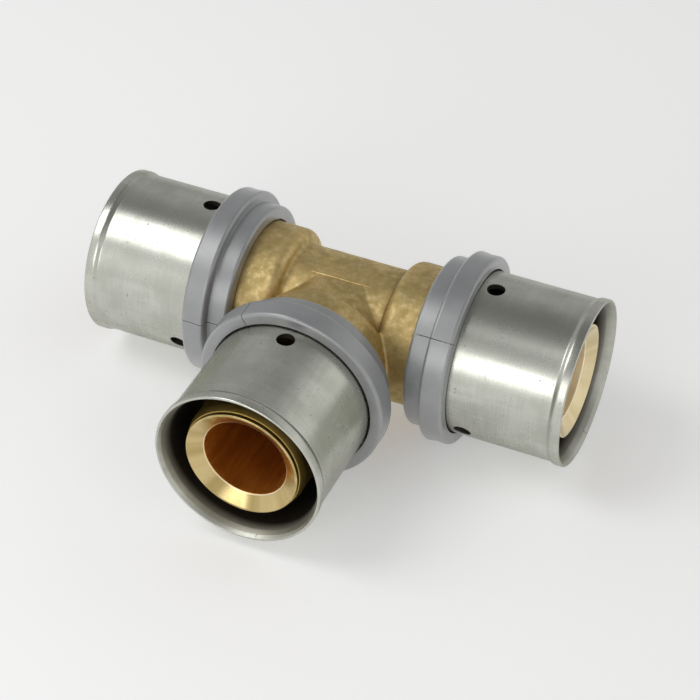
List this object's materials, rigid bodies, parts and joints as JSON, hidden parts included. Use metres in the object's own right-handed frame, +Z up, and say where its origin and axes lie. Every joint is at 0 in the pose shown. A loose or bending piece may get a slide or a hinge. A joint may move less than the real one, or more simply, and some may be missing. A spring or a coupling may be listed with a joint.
{
  "type": "equal tee press fitting",
  "caption": "Brass equal tee for composite pipe; each branch has a barbed spigot with O-rings, a split plastic ring and a flared steel press sleeve with sight holes.",
  "frame": {"origin": "centre of the outer box at its lowest plane, on the surface that the three plastic rings rest on; the tee's centre, where its axes cross, is 16.7 mm behind it along +Y and 20.6 mm above it", "axes": "+X along the run towards its right mouth, -Y along the branch towards its mouth, +Z up with all three branches lying flat"},
  "size_m": [0.108, 0.0746, 0.0412],
  "materials": {
    "brass": "bead-blasted forging, with bright turned spigots and bores",
    "steel": "satin stainless sheet",
    "plastic": "moulded grey, slightly glossy",
    "rubber": "black O-ring rubber"
  },
  "bodies": {
    "tee": {"tee_body": "brass", "run_left_o_ring_inner": "rubber", "run_left_o_ring_outer": "rubber", "run_right_o_ring_inner": "rubber", "run_right_o_ring_outer": "rubber", "branch_o_ring_inner": "rubber", "branch_o_ring_outer": "rubber"},
    "run_left_ring": {"run_left_fixing_ring": "plastic"},
    "run_left_sleeve": {"run_left_press_sleeve": "steel"},
    "run_right_ring": {"run_right_fixing_ring": "plastic"},
    "run_right_sleeve": {"run_right_press_sleeve": "steel"},
    "branch_ring": {"branch_fixing_ring": "plastic"},
    "branch_sleeve": {"branch_press_sleeve": "steel"}
  },
  "joints": [
    {"name": "run_left_ring_turn", "type": "hinge", "parent": "tee", "child": "run_left_ring", "pos_m": [-0.0248, 0.0167, 0.0206], "axis": [-1, 0, 0], "continuous": true},
    {"name": "run_left_sleeve_turn", "type": "hinge", "parent": "run_left_ring", "child": "run_left_sleeve", "pos_m": [-0.04, 0.0167, 0.0206], "axis": [-1, 0, 0], "continuous": true},
    {"name": "run_right_ring_turn", "type": "hinge", "parent": "tee", "child": "run_right_ring", "pos_m": [0.0248, 0.0167, 0.0206], "axis": [1, 0, 0], "continuous": true},
    {"name": "run_right_sleeve_turn", "type": "hinge", "parent": "run_right_ring", "child": "run_right_sleeve", "pos_m": [0.04, 0.0167, 0.0206], "axis": [1, 0, 0], "continuous": true},
    {"name": "branch_ring_turn", "type": "hinge", "parent": "tee", "child": "branch_ring", "pos_m": [0, -0.0081, 0.0206], "axis": [0, -1, 0], "continuous": true},
    {"name": "branch_sleeve_turn", "type": "hinge", "parent": "branch_ring", "child": "branch_sleeve", "pos_m": [0, -0.0233, 0.0206], "axis": [0, -1, 0], "continuous": true}
  ]
}
